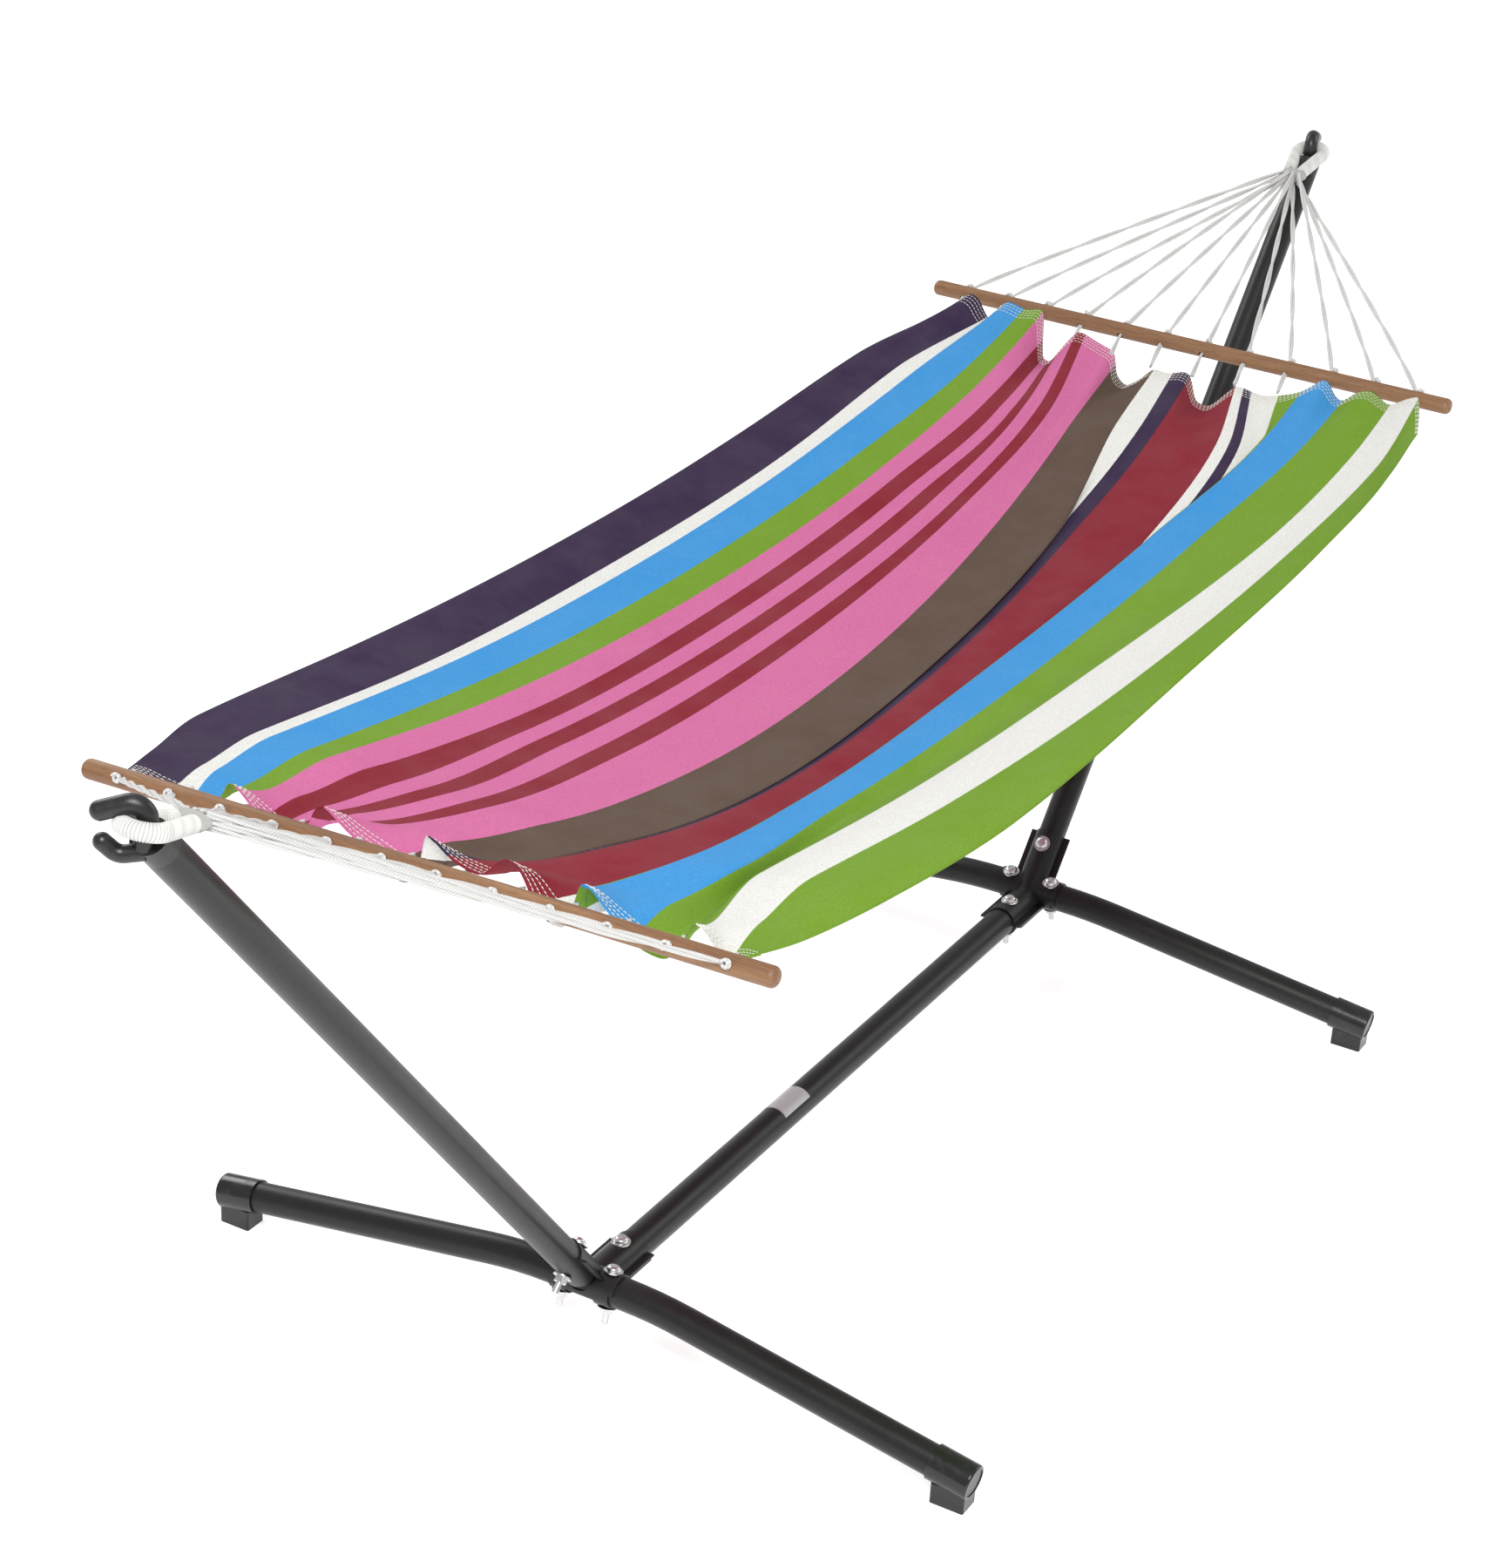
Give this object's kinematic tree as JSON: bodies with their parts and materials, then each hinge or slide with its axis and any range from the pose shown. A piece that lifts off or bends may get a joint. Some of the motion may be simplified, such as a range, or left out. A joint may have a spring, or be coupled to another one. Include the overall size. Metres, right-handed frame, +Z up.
{
  "type": "hammock on stand",
  "caption": "Striped fabric hammock with wooden spreader bars, hung by fanned cords and rope loops on fork hooks at the ends of a bolted steel tube stand with bent cross feet.",
  "frame": {"origin": "on the floor, under the middle of the stand", "axes": "+X along the stand from the left hook to the right hook, +Y across it to the rear, +Z up"},
  "size_m": [2.775, 1.0294, 1.0284],
  "materials": {
    "black_steel": "satin powder coat",
    "hook_plastic": "matte",
    "cap_plastic": "gloss",
    "cap_disc": "satin",
    "zinc_steel": "zinc plated",
    "white_rope": "whipped cotton",
    "white_cord": "twisted cotton",
    "brown_wood": "oiled hardwood",
    "striped_canvas": "woven stripes"
  },
  "bodies": {
    "stand": {"left_arm_tube": "black_steel", "right_arm_tube": "black_steel", "base_beam_tube": "black_steel", "left_foot_tube": "black_steel", "right_foot_tube": "black_steel", "left_elbow_bracket": "black_steel", "right_elbow_bracket": "black_steel", "left_foot_saddle": "black_steel", "right_foot_saddle": "black_steel", "left_hook": "hook_plastic", "right_hook": "hook_plastic", "left_front_foot_cap": "cap_plastic", "left_rear_foot_cap": "cap_plastic", "right_front_foot_cap": "cap_plastic", "right_rear_foot_cap": "cap_plastic", "foot_cap_discs": "cap_disc", "arm_bolts": "zinc_steel", "beam_bolts": "zinc_steel", "foot_bolts": "zinc_steel", "hex_nuts": "zinc_steel", "flat_washers": "zinc_steel", "left_hanging_loop": "white_rope", "right_hanging_loop": "white_rope"},
    "hammock": {"left_cord_gather": "white_rope", "right_cord_gather": "white_rope", "left_spreader_bar": "brown_wood", "right_spreader_bar": "brown_wood", "hammock_fabric": "striped_canvas", "left_cord_01": "white_cord", "left_cord_02": "white_cord", "left_cord_03": "white_cord", "left_cord_04": "white_cord", "left_cord_05": "white_cord", "left_cord_06": "white_cord", "left_cord_07": "white_cord", "left_cord_08": "white_cord", "left_cord_09": "white_cord", "left_cord_10": "white_cord", "left_cord_11": "white_cord", "left_cord_12": "white_cord", "right_cord_01": "white_cord", "right_cord_02": "white_cord", "right_cord_03": "white_cord", "right_cord_04": "white_cord", "right_cord_05": "white_cord", "right_cord_06": "white_cord", "right_cord_07": "white_cord", "right_cord_08": "white_cord", "right_cord_09": "white_cord", "right_cord_10": "white_cord", "right_cord_11": "white_cord", "right_cord_12": "white_cord"}
  },
  "joints": [
    {"name": "hammock_swing", "type": "hinge", "parent": "stand", "child": "hammock", "pos_m": [0, 0, 0.97745], "axis": [1, 0, 0], "range_deg": [-20, 20]}
  ]
}
